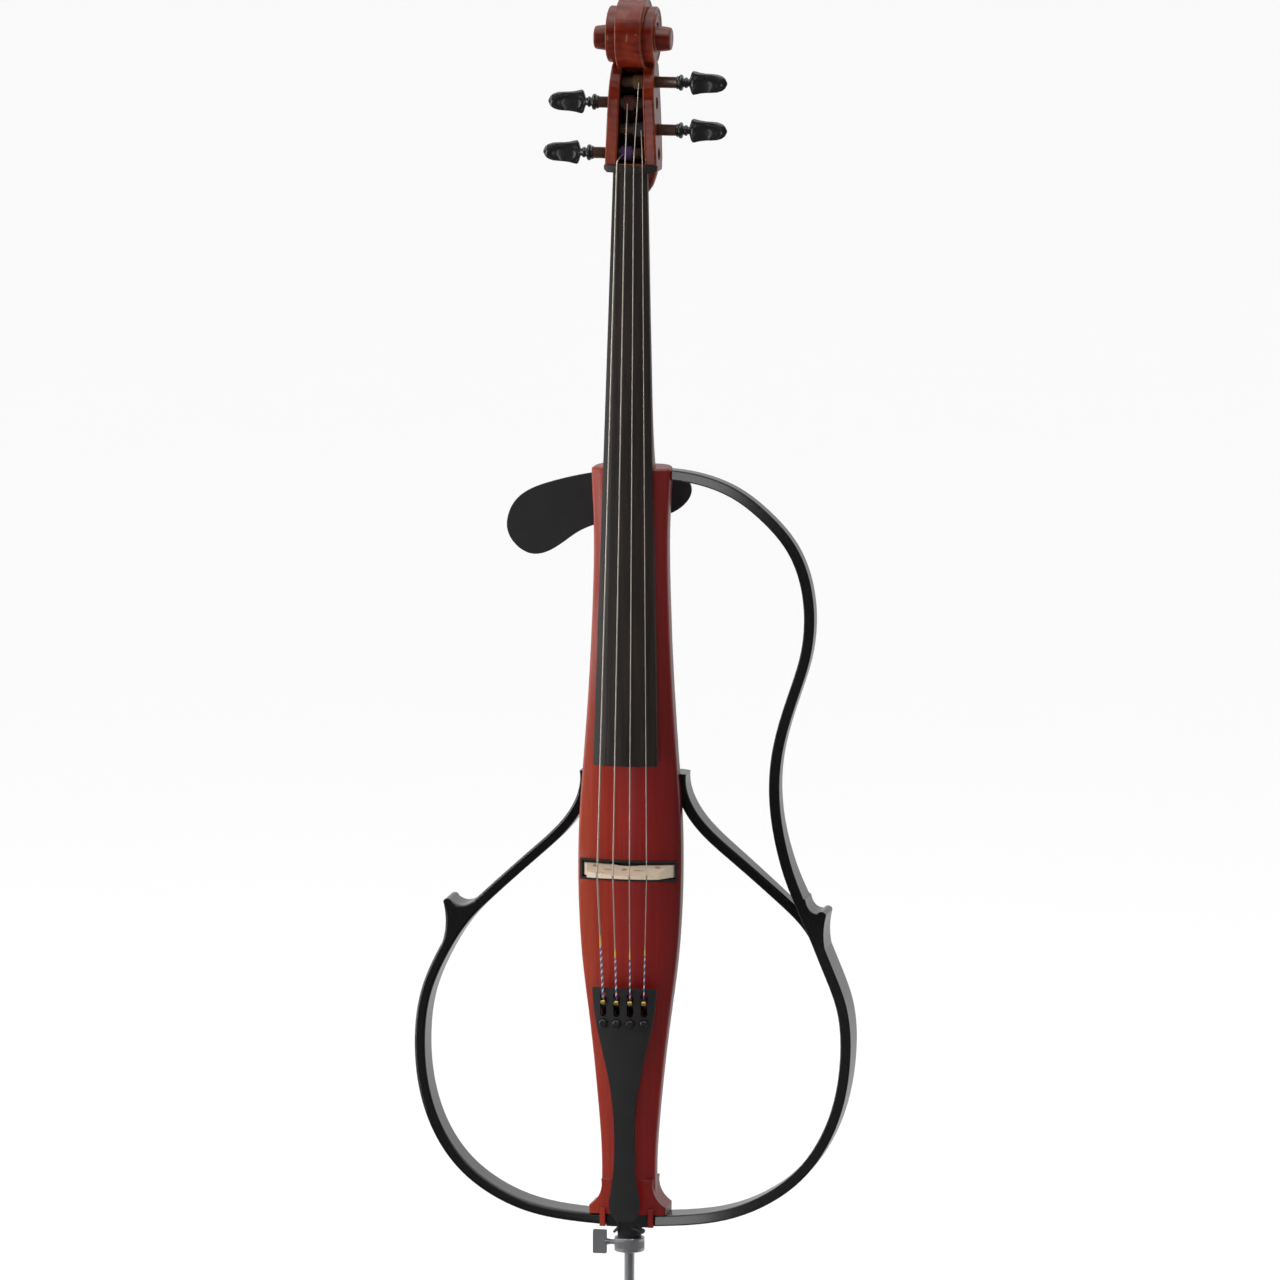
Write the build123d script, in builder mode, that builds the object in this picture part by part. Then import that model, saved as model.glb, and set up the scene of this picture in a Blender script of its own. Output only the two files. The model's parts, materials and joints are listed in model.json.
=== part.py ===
"""Electric cello with open bout frames, built as separate pieces.

Millimetres. +Z runs up the instrument, -Y is the front, the side of the strings, and +X is
the right-hand side seen from the front. The origin lies on the endpin's axis, at the lower
end of its straight foot shank. A height is measured from the lower face of the endpin
collar, which stands endpin_out above the origin.
"""

import os

from build123d import *

os.makedirs("parts", exist_ok=True)

# ------------------------------------------------------------------ driving dimensions
endpin_out = 245            # exposed endpin, from the foot shank's end to the collar
endpin_inside = 180         # endpin above the collar's lower face
endpin_radius = 5.0
foot_radius = 4.0           # reduced shank that takes a rubber foot
foot_length = 30
spike_length = 18
running_gap = 0.06          # radial clearance of shafts that turn or slide

body_low = 39               # height of the wooden body's lower edge
body_crown = -16            # Y of the front along the middle
body_shoulder = -9.5        # Y of the front at its rounded edges
body_edge = 2.6             # width of the rounded front edge
back_flat = 32              # Y of the flat back under the control panel
back_half_flat = 21

bridge_height = 385         # height of the bridge's middle
board_low = 493             # fingerboard's free end
board_high = 1079           # fingerboard's nut end
graft_height = 1050         # where the neck meets the pegbox piece
nut_length = 7

bridge_spacing = 16.5       # string spacing at the bridge, the nut and the tuners
nut_spacing = 8.4
tuner_spacing = 13.6
bridge_crown_radius = 65
board_crown_radius = 62

frame_width = 10.5          # bout frames, seen from the front
frame_round = 2.4           # rounding of the left frame and the brace
tip_round = 1.2             # rounding of the right frame, whose bouts meet at a sharp angle

peg_depth = 2               # Y of the peg axes
peg_radius = 5.6
winding_radius = 7.4

tailpiece_high = 270
tailpiece_low = 34
tailpiece_slope = 10 / 236
tailpiece_crown_radius = 85
tailpiece_thickness = 9
screw_height = 235
lever_pivot = (-31, 256.5)  # Y and height of the tuner levers' trunnions
ball_height = 256.4
ball_radius = 2.4

pad_centre = (-5, 745)      # X and height of the chest pad's pivot

string_names = ["c", "g", "d", "a"]
string_places = [-1.5, -0.5, 0.5, 1.5]
string_radii = [0.8, 0.65, 0.5, 0.4]
peg_sides = [-1, -1, 1, 1]
peg_heights = [1096, 1146, 1167, 1120]
peg_reach = [90, 85, 93, 93]
string_at_peg = [-9.5, -4.8, 6.5, 9]

collar_z = endpin_out


# ------------------------------------------------------------------ placing helpers
def at(x, y, height):
    """Point in the model's frame from X, Y and a height above the collar."""
    return (x, y, collar_z + height)


def level(height):
    """Horizontal plane: sketch axes X and Y."""
    return Plane.XY.offset(collar_z + height)


def facing(depth):
    """Front-view plane at Y = depth: sketch axes X and height, extrusions go to the front."""
    return Plane(origin=(0, depth, collar_z), x_dir=(1, 0, 0), z_dir=(0, -1, 0))


def beside(offset):
    """Side-view plane at X = offset: sketch axes Y and height, extrusions go to +X."""
    return Plane(origin=(offset, 0, collar_z), x_dir=(0, 1, 0), z_dir=(1, 0, 0))


def block(low, high, mode=Mode.ADD):
    """Block between two corners, each given as X, Y and height."""
    middle = [(a + b) / 2 for a, b in zip(low, high)]
    with Locations(at(*middle)):
        Box(*[b - a for a, b in zip(low, high)], mode=mode)


def rod(start, end, radius, end_radius=None, mode=Mode.ADD):
    """Round bar, or a tapered one, between two points given as X, Y and height."""
    first = Vector(*at(*start))
    run = Vector(*at(*end)) - first
    foot = (Align.CENTER, Align.CENTER, Align.MIN)
    with Locations(Plane(origin=first, z_dir=run)):
        if end_radius is None:
            Cylinder(radius, run.length, align=foot, mode=mode)
        else:
            Cone(radius, end_radius, run.length, align=foot, mode=mode)


def save(piece, name):
    """Label a finished piece and write it to its own STEP file."""
    piece.part.label = name
    export_step(piece.part, f"parts/{name}.step")


# ------------------------------------------------------------------ frame screws
with BuildPart() as frame_screws:
    for side in (-1, 1):
        rod((side * 17.3, 4, 26.4), (side * 17.3, 4, 28.4), 2.6)
        rod((side * 17.3, 4, 28.4), (side * 17.3, 4, 36), 1.6)
        rod((side * 54.2, 20, 456), (side * 51.2, 20, 456), 4)
        rod((side * 51.2, 20, 456), (side * 33, 20, 456), 2.2)
    rod((34, 14.5, 778.5), (34, 12, 778.5), 3)
    rod((34, 12, 778.5), (34, -4, 778.5), 1.6)
    rod((167.5, 47, 322), (170.5, 47, 322), 3.4)
    rod((170.5, 47, 322), (182, 47, 322), 1.8)
save(frame_screws, "frame_screws")

# ------------------------------------------------------------------ bout frames
lower_bout = [
    (14, 32), (60, 35), (100, 42), (140, 59), (168, 80), (194.5, 116),
    (209, 155.5), (214.5, 200), (209.5, 249.5), (195, 286.5),
]
c_bout = [(168, 329), (147, 350.5), (98, 395.5), (60, 436.5), (49, 464), (48.5, 480)]
upper_bout = [
    (176, 331), (157.7, 374), (148.6, 406), (141.3, 469), (144, 501), (161.8, 565.5),
    (171.7, 597.5), (176.5, 637.5), (159, 708.5), (132, 740), (104, 761), (64, 775.5), (28, 779),
]
horn_outer = [(200, 286), (191.5, 309), (193, 341)]
horn_tip = [(193, 341), (189.5, 344.5), (184.5, 342.5)]

# front and back of the frames seen from the side, as Y and height
frame_front = [(-13, 20), (-3, 105), (8, 198), (18, 339), (6, 490)]
frame_back = [(22, 20), (45, 198), (57, 339), (33, 490)]
upper_front = [(-13, 20), (-3, 105), (8, 198), (18, 339), (13, 430), (7, 600), (0, 740), (-2, 795)]
upper_back = [(22, 20), (45, 198), (57, 339), (38, 420), (25, 600), (15, 740), (13, 795)]
brace_front = [(38, 300), (36, 345), (20, 410), (6, 490)]
brace_back = [(57, 300), (57, 345), (49, 410), (33, 490)]


def slab_between(front_points, back_points):
    """Everything from X = 0 to beyond the frames between two side-view curves."""
    with BuildSketch(beside(0)) as depths:
        with BuildLine():
            front = Spline(*front_points)
            back = Spline(*back_points)
            Line(front @ 0, back @ 0)
            Line(front @ 1, back @ 1)
        make_face()
    return extrude(depths.sketch, amount=230, mode=Mode.PRIVATE)


def horn_sketch(valley, inner):
    """Pointed corner between two bouts: outer side, blunt tip, valley and inner edge."""
    with BuildSketch(facing(80)) as horn:
        with BuildLine():
            Spline(*horn_outer)
            ThreePointArc(*horn_tip)
            Spline(horn_tip[-1], *valley)
            Polyline(valley[-1], *inner, horn_outer[0])
        make_face()
    return horn.sketch_local


def bent_bar(points, horn=None):
    """Flat bar of the frames' width along a front-view curve, deeper than any frame."""
    with BuildPart() as bar:
        with BuildSketch(facing(80)):
            with BuildLine():
                Spline(*points)
            trace(line_width=frame_width)
            if horn is not None:
                add(horn)
        extrude(amount=110)
    return bar.part


def rim_edges(part, shortest=12):
    """The long edges that run along a frame, without the short ones across it."""
    return [edge for edge in part.edges() if edge.length > shortest and abs((edge % 0.5).Y) < 0.9]


with BuildPart() as left_shape:
    left_horn = horn_sketch([(176, 338.5), (160, 345)], [(150, 348), (168, 329), (190, 292)])
    add(bent_bar(lower_bout + c_bout, left_horn))
    add(slab_between(frame_front, frame_back), mode=Mode.INTERSECT)
    fillet(rim_edges(left_shape.part), frame_round)

with BuildPart() as left_frame:
    add(mirror(left_shape.part, about=Plane.YZ, mode=Mode.PRIVATE))
    add(frame_screws.part, mode=Mode.SUBTRACT)
save(left_frame, "left_frame")

with BuildPart() as right_brace:
    add(bent_bar([(177, 316)] + c_bout))
    add(slab_between(brace_front, brace_back), mode=Mode.INTERSECT)
    fillet(rim_edges(right_brace.part), frame_round)
    add(frame_screws.part, mode=Mode.SUBTRACT)
save(right_brace, "right_brace")

with BuildPart() as right_frame:
    right_horn = horn_sketch([(181, 343), (172, 356)], [(163, 362), (176, 330), (190, 292)])
    add(bent_bar(lower_bout + upper_bout, right_horn))
    add(slab_between(upper_front, upper_back), mode=Mode.INTERSECT)
    fillet(rim_edges(right_frame.part), tip_round)
    add(right_brace.part, mode=Mode.SUBTRACT)
    add(frame_screws.part, mode=Mode.SUBTRACT)
save(right_frame, "right_frame")

# ------------------------------------------------------------------ wooden body
body_stations = [  # height, half width, Y of the back
    (39, 26.7, 24), (90, 27, 25.2), (140, 30, 27.5), (190, 34.8, 30), (240, 40.6, 31.8),
    (290, 46.9, 32.3), (340, 50.6, 32.5), (390, 51.8, 32.6), (440, 50.6, 32.6), (490, 47.2, 32.6),
    (540, 43.6, 32.6), (590, 40.6, 32.6), (640, 38.5, 32.3), (690, 37.1, 31.6), (740, 37.6, 30.4),
    (786, 39.5, 29),
]


def body_section(height, half_width, back):
    """Cross-section of the body: crowned front, round shoulders, hull-shaped back."""
    shoulder = half_width - body_edge
    flat = min(back_half_flat, 0.62 * half_width)
    with BuildSketch(level(height)) as section:
        with BuildLine():
            ThreePointArc((-shoulder, body_shoulder), (0, body_crown), (shoulder, body_shoulder))
            for side in (-1, 1):
                ThreePointArc(
                    (side * shoulder, body_shoulder),
                    (side * (half_width - 0.7), body_shoulder + 1.9),
                    (side * half_width, body_shoulder + 5),
                )
                Spline(
                    (side * half_width, body_shoulder + 5),
                    (side * 0.95 * half_width, 0.55 * back),
                    (side * flat, back),
                    tangents=((0, 1), (-side, 0.05)),
                )
            Line((-flat, back), (flat, back))
        make_face()
    return section.sketch


with BuildPart() as foot:
    with BuildSketch(facing(24)):
        with BuildLine():
            Line((-26, 74), (26, 74))
            ThreePointArc((26, 74), (29.2, 56), (38.5, 47))
            Polyline((38.5, 47), (38.5, body_low), (-38.5, body_low), (-38.5, 47))
            ThreePointArc((-38.5, 47), (-29.2, 56), (-26, 74))
        make_face()
    extrude(amount=38.5)
    fillet(foot.edges().filter_by(Axis.Z), 2.5)
    for side in (-1, 1):
        block((side * 24.2 - 2.7, -18, 27), (side * 24.2 + 2.7, -13.4, 45))

with BuildPart() as body:
    loft([body_section(*station) for station in body_stations])
    top_corners = body.faces().sort_by(Axis.Z)[-1].edges()
    fillet(top_corners, 3)
    add(foot.part)
    # flat back for the panel and the battery cover
    block((-60, back_flat, 300), (60, back_flat + 9, 680), mode=Mode.SUBTRACT)
    # bridge recess and the lead's channel from it to the electronics
    block((-49, -20, 374.6), (49, 2, 395.4), mode=Mode.SUBTRACT)
    block((17.6, -2.4, 394), (20.5, 4, 408), mode=Mode.SUBTRACT)
    # electronics cavity, open at the back
    block((-20.5, 0, 405), (20.5, 60, 642), mode=Mode.SUBTRACT)
    # endpin tube's bore and the neck's mortise
    rod((0, 0, 30), (0, 0, 370), 7.5, mode=Mode.SUBTRACT)
    block((-12, -8, 771), (12, 16, 790), mode=Mode.SUBTRACT)
    # seat of the chest pad's post
    rod((pad_centre[0], 27, pad_centre[1]), (pad_centre[0], 50, pad_centre[1]), 9, mode=Mode.SUBTRACT)
    for joined in (left_frame, right_frame, right_brace, frame_screws):
        add(joined.part, mode=Mode.SUBTRACT)
save(body, "body")

with BuildPart() as end_block:
    block((-21.3, -14, 26.4), (21.3, 24, body_low))
    fillet(end_block.edges().filter_by(Axis.Z), 2)
    rod((0, 0, 20), (0, 0, 45), 7.5, mode=Mode.SUBTRACT)
    for joined in (left_frame, right_frame, frame_screws):
        add(joined.part, mode=Mode.SUBTRACT)
save(end_block, "end_block")

# ------------------------------------------------------------------ endpin and its holder
bore = endpin_radius + running_gap

with BuildPart() as endpin_plug:
    rod((0, 0, 14), (0, 0, 26.4), 11.5, 13)
    rod((0, 0, 20), (0, 0, 369), 7.5)
    with Locations(at(0, 0, 19.5)):
        Torus(14, 1.55, mode=Mode.SUBTRACT)
    rod((0, 0, 10), (0, 0, 375), bore, mode=Mode.SUBTRACT)
save(endpin_plug, "endpin_plug")

with BuildPart() as endpin_collar:
    rod((0, 0, 0), (0, 0, 14), 15)
    chamfer(endpin_collar.edges().filter_by(GeomType.CIRCLE), 0.8)
    with BuildSketch(level(3.5)):
        with PolarLocations(15.1, 72):
            Rectangle(0.7, 0.7, rotation=45)
    extrude(amount=7, mode=Mode.SUBTRACT)
    rod((0, 0, -1), (0, 0, 15), bore, mode=Mode.SUBTRACT)
    rod((-20, 0, 8), (-4, 0, 8), 2.5 + running_gap, mode=Mode.SUBTRACT)
save(endpin_collar, "endpin_collar")

with BuildPart() as endpin_thumbscrew:
    with BuildSketch(facing(1.3)):
        with Locations((-29.8, 8)):
            RectangleRounded(14, 24, 1.5)
    extrude(amount=2.6)
    rod((-24, 0, 8), (-5.3, 0, 8), 2.5)
    rod((-24, 0, 8), (-19, 0, 8), 3.6, 2.6)
save(endpin_thumbscrew, "endpin_thumbscrew")

with BuildPart() as endpin_rod:
    rod((0, 0, foot_length - endpin_out), (0, 0, endpin_inside), endpin_radius)
    chamfer(endpin_rod.edges().filter_by(GeomType.CIRCLE), 0.5)
    rod((0, 0, -endpin_out), (0, 0, foot_length - endpin_out + 1), foot_radius)
    rod((0, 0, -endpin_out), (0, 0, -endpin_out - spike_length), foot_radius, 0.6)
save(endpin_rod, "endpin_rod")

# ------------------------------------------------------------------ neck and fingerboard
def along_board(height, at_low, at_high):
    """Value that changes evenly from the fingerboard's free end to the nut."""
    return at_low + (height - board_low) * (at_high - at_low) / (board_high - board_low)


def glue_depth(height):
    return along_board(height, -23.7, -9.8)


def board_crown(height):
    return along_board(height, -41, -18.5)


def board_half_width(height):
    return along_board(height, 32, 17)


def board_section(height):
    """Fingerboard's cross-section: flat underside, upright sides, round top."""
    half = board_half_width(height)
    crown = board_crown(height)
    edge = crown + half**2 / (2 * board_crown_radius)
    under = glue_depth(height)
    with BuildSketch(level(height)) as section:
        with BuildLine():
            ThreePointArc((-half, edge), (0, crown), (half, edge))
            Polyline((half, edge), (half, under), (-half, under), (-half, edge))
        make_face()
    return section.sketch


def neck_section(height, half_width, back):
    """D-shaped neck section with its flat side under the fingerboard."""
    front = glue_depth(height)
    with BuildSketch(level(height)) as section:
        with BuildLine():
            Spline(
                (half_width, front),
                (0.86 * half_width, front + 0.62 * (back - front)),
                (0, back),
                (-0.86 * half_width, front + 0.62 * (back - front)),
                (-half_width, front),
                tangents=((0, 1), (0, -1)),
            )
            Line((-half_width, front), (half_width, front))
        make_face()
    return section.sketch


with BuildPart() as fingerboard:
    loft([board_section(board_low), board_section(board_high)], ruled=True)
    free_end = fingerboard.faces().sort_by(Axis.Z)[0]
    fillet(free_end.edges().sort_by(Axis.Y)[0], 0.8)
save(fingerboard, "fingerboard")

neck_stations = [  # height, half width, Y of the back
    (786, 24, 27), (804, 23.2, 20), (836, 22.2, 14), (930, 19.6, 11.5), (graft_height, 16.8, 10),
]
with BuildPart() as neck:
    loft([neck_section(*station) for station in neck_stations])
    block((-12, -8, 771), (12, 16, 787))
save(neck, "neck")

nut_low, nut_high = board_high, board_high + nut_length
with BuildPart() as nut:
    with BuildSketch(level(nut_low)):
        with BuildLine():
            ThreePointArc((-26.5, -14.2), (0, -19.9), (26.5, -14.2))
            Polyline((26.5, -14.2), (26.5, -9.8), (-26.5, -9.8), (-26.5, -14.2))
        make_face()
    extrude(amount=nut_length)
    for side in (-1, 1):
        corner = nut.edges().filter_by(Axis.Y).group_by(Axis.Z)[0].sort_by(Axis.X)
        chamfer(corner[0 if side < 0 else -1], 3)
    for place, radius in zip(string_places, string_radii):
        x = place * nut_spacing
        depth = -20.2 + x**2 / (2 * board_crown_radius)
        rod((x, depth, nut_low - 1), (x, depth, nut_high + 1), radius + 0.1, mode=Mode.SUBTRACT)
save(nut, "nut")

# ------------------------------------------------------------------ pegbox and scroll
with BuildPart() as pegbox_scroll:
    with BuildSketch(facing(40)):
        with BuildLine():
            Polyline(
                (-19, 1194), (-21.5, 1183), (-23, 1151), (-25.8, 1090), (-26.2, board_high),
                (26.2, board_high), (25.8, 1090), (23, 1151), (21.5, 1183), (19, 1194), close=True,
            )
        make_face()
    extrude(amount=60)
    with BuildSketch(beside(-30)) as side_shape:
        with BuildLine():
            Polyline((-9.8, board_high), (-9.8, nut_high), (-14.2, nut_high), (-15.2, 1151))
            Spline((-15.2, 1151), (-11, 1170), (-3, 1184), (6, 1192))
            Spline((6, 1192), (20, 1194), (26, 1180), (28, 1130), (24, board_high))
            Line((24, board_high), (-9.8, board_high))
        make_face()
    extrude(amount=60, mode=Mode.INTERSECT)
    loft([neck_section(graft_height, 16.8, 10), neck_section(board_high + 0.5, 16.6, 12)])
    with BuildSketch(beside(-21)):
        with BuildLine():
            Spline((9, 1053), (20, 1063), (25, board_high), (25, 1092))
            Polyline((25, 1092), (4, 1092), (4, 1053), (9, 1053))
        make_face()
    extrude(amount=42)
    # string cavity between the cheeks
    for height, width in ((nut_high + 1, 28), (1181, 21)):
        with BuildSketch(level(height)):
            with Locations((0, -3)):
                Rectangle(width, 36)
    loft(mode=Mode.SUBTRACT)
    # scroll: outer turn, inner turn and eye, each narrower turn standing further out
    with BuildSketch(beside(-14)):
        with BuildLine():
            Spline(
                (27, 1172), (36, 1200), (34, 1230), (18, 1246), (-4, 1249), (-25, 1240),
                (-35, 1218), (-30, 1196), (-15, 1183), (0, 1180),
            )
            Line((0, 1180), (27, 1172))
        make_face()
    extrude(amount=28)
    rod((-23.8, 0, 1214.5), (23.8, 0, 1214.5), 28.6)
    for side in (-1, 1):
        rod((side * 23.5, -1, 1210), (side * 38.4, -1, 1210), 12.8, 11.3)
    for height in peg_heights:
        hole = peg_radius + running_gap
        rod((-40, peg_depth, height), (40, peg_depth, height), hole, mode=Mode.SUBTRACT)
save(pegbox_scroll, "pegbox_scroll")

# ------------------------------------------------------------------ pegs and their windings
def peg(side, height, reach):
    """Tuning peg: tapered collar, waist and a flat leaf-shaped head."""
    with BuildPart() as turned:
        y = peg_depth
        rod((-side * 22, y, height), (side * (reach - 50), y, height), peg_radius)
        rod((side * (reach - 50), y, height), (side * (reach - 45), y, height), peg_radius, 8)
        rod((side * (reach - 45), y, height), (side * (reach - 42), y, height), 8, 5)
        rod((side * (reach - 42), y, height), (side * (reach - 36), y, height), 5)
        with BuildSketch(facing(y + 5)):
            with BuildLine():
                Spline(
                    (side * (reach - 37), height - 4), (side * (reach - 33), height - 11.8),
                    (side * (reach - 14), height - 9), (side * reach, height),
                    (side * (reach - 14), height + 9), (side * (reach - 33), height + 11.8),
                    (side * (reach - 37), height + 4),
                )
                Line((side * (reach - 37), height + 4), (side * (reach - 37), height - 4))
            make_face()
        extrude(amount=10)
    return turned


def winding(height, x_start, x_end, radius):
    """String wound side by side on a peg, as one ribbed sleeve."""
    with BuildPart() as turns:
        rod((x_start, peg_depth, height), (x_end, peg_depth, height), winding_radius - radius)
        count = int(abs(x_end - x_start) / (2 * radius + 0.4))
        for turn in range(count):
            middle = x_start + (turn + 0.5) * (x_end - x_start) / count
            half = 0.6 * radius if x_end > x_start else -0.6 * radius
            rod((middle - half, peg_depth, height), (middle + half, peg_depth, height), winding_radius)
        axis_ends = (x_start - 20, peg_depth, height), (x_start + 20, peg_depth, height)
        rod(*axis_ends, peg_radius, mode=Mode.SUBTRACT)
    return turns


winding_spans = [(-12, -1), (-10, 1), (0, 10), (0, 11)]
for index, name in enumerate(string_names):
    shaped = peg(peg_sides[index], peg_heights[index], peg_reach[index])
    save(shaped, f"peg_{name}")
    wound = winding(peg_heights[index], *winding_spans[index], string_radii[index])
    save(wound, f"winding_{name}")

# ------------------------------------------------------------------ bridge, bezel, pickup
def crown_prism(depth_offset):
    """Body-front crown moved forward by an offset, as a solid that reaches back to Y = 2."""
    side_y = -8.8 - depth_offset
    with BuildSketch(level(bridge_height - 12)) as crowned:
        with BuildLine():
            ThreePointArc((-51, side_y), (0, body_crown - depth_offset), (51, side_y))
            Polyline((51, side_y), (51, 2), (-51, 2), (-51, side_y))
        make_face()
    return extrude(crowned.sketch, amount=24, mode=Mode.PRIVATE)


with BuildPart() as bridge_bezel:
    block((-49, -22, 374.6), (49, 2, 395.4))
    add(crown_prism(0.9), mode=Mode.INTERSECT)
    block((-46.6, -30, 377), (46.6, 0.6, 393), mode=Mode.SUBTRACT)
    rod((19.5, 0, 390), (19.5, 0, 400), 2, mode=Mode.SUBTRACT)
save(bridge_bezel, "bridge_bezel")

with BuildPart() as pickup:
    block((-46.3, -2.6, 377.4), (46.3, 0.6, 392.6))
save(pickup, "pickup")

with BuildPart() as bridge:
    with BuildSketch(level(376)):
        with BuildLine():
            ThreePointArc((-35.5, -43.2), (0, -53), (35.5, -43.2))
            for side in (-1, 1):
                Spline((side * 35.5, -43.2), (side * 38, -33), (side * 40.5, -20), (side * 45.6, -8))
                Polyline((side * 45.6, -8), (side * 45.6, -2.6), (side * 23, -2.6))
            ThreePointArc((-23, -2.6), (0, -19), (23, -2.6))
        make_face()
        for side in (-1, 1):
            with Locations((side * 15, -34)):
                Ellipse(6, 2.6, rotation=side * 14, mode=Mode.SUBTRACT)
            with Locations((side * 31, -20)):
                Ellipse(3.2, 5, mode=Mode.SUBTRACT)
        with Locations((0, -32)):
            Ellipse(3, 4.6, mode=Mode.SUBTRACT)
    extrude(amount=18)
    with BuildSketch(beside(-60)):
        Polygon((-2.6, 378), (-2.6, 391.6), (-7, 391.6), (-53.5, 386.8), (-53.5, 383), align=None)
    extrude(amount=120, mode=Mode.INTERSECT)
    for place, radius in zip(string_places, string_radii):
        x = place * bridge_spacing
        depth = -52.6 + x**2 / (2 * bridge_crown_radius)
        rod((x, depth, 370), (x, depth, 400), radius + 0.4, mode=Mode.SUBTRACT)
save(bridge, "bridge")

with BuildPart() as pickup_lead:
    with BuildLine() as lead_route:
        FilletPolyline(
            at(19.3, -1, 392.7), at(19.3, 0.2, 404), at(19.4, 4, 430), at(19.2, 8, 470), at(19, 10, 492),
            at(14, 10.8, 512), radius=8,
        )
    with BuildSketch(Plane(origin=lead_route.line @ 0, z_dir=lead_route.line % 0)):
        Circle(0.8)
    sweep()
save(pickup_lead, "pickup_lead")

# ------------------------------------------------------------------ tailpiece and fine tuners
def tailpiece_top(height):
    return -39 + (tailpiece_high - height) * tailpiece_slope


def top_surface(x, height):
    return tailpiece_top(height) + x**2 / (2 * tailpiece_crown_radius)


with BuildPart() as tailpiece:
    with BuildSketch(facing(0)):
        with BuildLine():
            Line((-32, tailpiece_high), (32, tailpiece_high))
            for side in (-1, 1):
                Spline(
                    (side * 32, tailpiece_high), (side * 28.3, 235), (side * 15.5, 178.7),
                    (side * 10, 129.4), (side * 15.5, 55),
                )
                ThreePointArc((side * 15.5, 55), (side * 13.8, 42), (side * 8, tailpiece_low))
            Line((-8, tailpiece_low), (8, tailpiece_low))
        make_face()
    extrude(amount=50)
    with BuildSketch(level(30)) as crowned_bar:
        with BuildLine():
            crown = tailpiece_top(30)
            ThreePointArc((-33, crown + 6.4), (0, crown), (33, crown + 6.4))
            under = crown + tailpiece_thickness
            Polyline((33, crown + 6.4), (33, under), (-33, under), (-33, crown + 6.4))
        make_face()
    rise = Vector(0, -tailpiece_slope, 1)
    leaning = extrude(crowned_bar.sketch, amount=245, dir=rise, mode=Mode.PRIVATE)
    add(leaning, mode=Mode.INTERSECT)
    for place in string_places:
        x = place * tuner_spacing
        with BuildSketch(facing(0)):
            with Locations((x, 254)):
                SlotOverall(25, 6.5, rotation=90)
        extrude(amount=60, mode=Mode.SUBTRACT)
        surface = top_surface(x, screw_height)
        rod((x, surface + 1, screw_height), (x, -60, screw_height), 4.4, mode=Mode.SUBTRACT)
        rod((x, 0, screw_height), (x, -60, screw_height), 2 + running_gap, mode=Mode.SUBTRACT)
        pivot_y, pivot_height = lever_pivot
        start, end = (x - 4.3, pivot_y, pivot_height), (x + 4.3, pivot_y, pivot_height)
        rod(start, end, 1.2 + running_gap, mode=Mode.SUBTRACT)
    for side in (-1, 1):
        rod((side * 6.5, -24.3, 30), (side * 6.5, -24.3, 48), 1.5, mode=Mode.SUBTRACT)
save(tailpiece, "tailpiece")


def ball_depth(place):
    """Y of a string's ball end, level with the tailpiece's crowned top."""
    x = place * tuner_spacing
    return -38.5 + x**2 / 230


for place, name, radius in zip(string_places, string_names, string_radii):
    x = place * tuner_spacing
    ball_y = ball_depth(place)
    with BuildPart() as lever:
        with BuildSketch(beside(x - 2.6)):
            Polygon(
                (ball_y - 2.6, 259), (ball_y + 3.4, 259), (ball_y + 3.4, 252), (-28.4, 243), (-28.4, 232),
                (-25.6, 232), (-25.6, 245), (-28.4, 254), (-28.6, 261.6), (ball_y - 2.6, 261.6), align=None,
            )
        extrude(amount=5.2)
        rod((x - 4, *lever_pivot), (x + 4, *lever_pivot), 1.2)
        block((x - 1.15, ball_y - 3, 258), (x + 1.15, ball_y + 1.3, 263), mode=Mode.SUBTRACT)
    save(lever, f"tuner_lever_{name}")
    with BuildPart() as ball_end:
        rod((x - 2.3, ball_y, ball_height), (x + 2.3, ball_y, ball_height), ball_radius)
        chamfer(ball_end.edges().filter_by(GeomType.CIRCLE), 0.5)
        rod((x - 3, ball_y, ball_height), (x + 3, ball_y, ball_height), 0.9, mode=Mode.SUBTRACT)
    save(ball_end, f"ball_end_{name}")
    surface = top_surface(x, screw_height)
    with BuildPart() as tuner_screw:
        rod((x, -28.5, screw_height), (x, surface + 0.8, screw_height), 2)
        rod((x, surface + 0.9, screw_height), (x, surface - 3.4, screw_height), 4)
        crown_edge = tuner_screw.edges().filter_by(GeomType.CIRCLE).sort_by(Axis.Y)[0]
        fillet(crown_edge, 1.4)
    save(tuner_screw, f"tuner_screw_{name}")

with BuildPart() as tailgut:
    with BuildLine() as gut_route:
        FilletPolyline(
            at(-6.5, -24.3, 47), at(-6.5, -24.3, 28), at(-14.2, -6, 19.5), at(-14.2, 14.2, 19.5),
            at(14.2, 14.2, 19.5), at(14.2, -6, 19.5), at(6.5, -24.3, 28), at(6.5, -24.3, 47),
            radius=[4, 5, 13.9, 13.9, 5, 4],
        )
    with BuildSketch(Plane(origin=gut_route.line @ 0, z_dir=gut_route.line % 0)):
        Circle(1.45)
    sweep()
save(tailgut, "tailgut")

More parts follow.
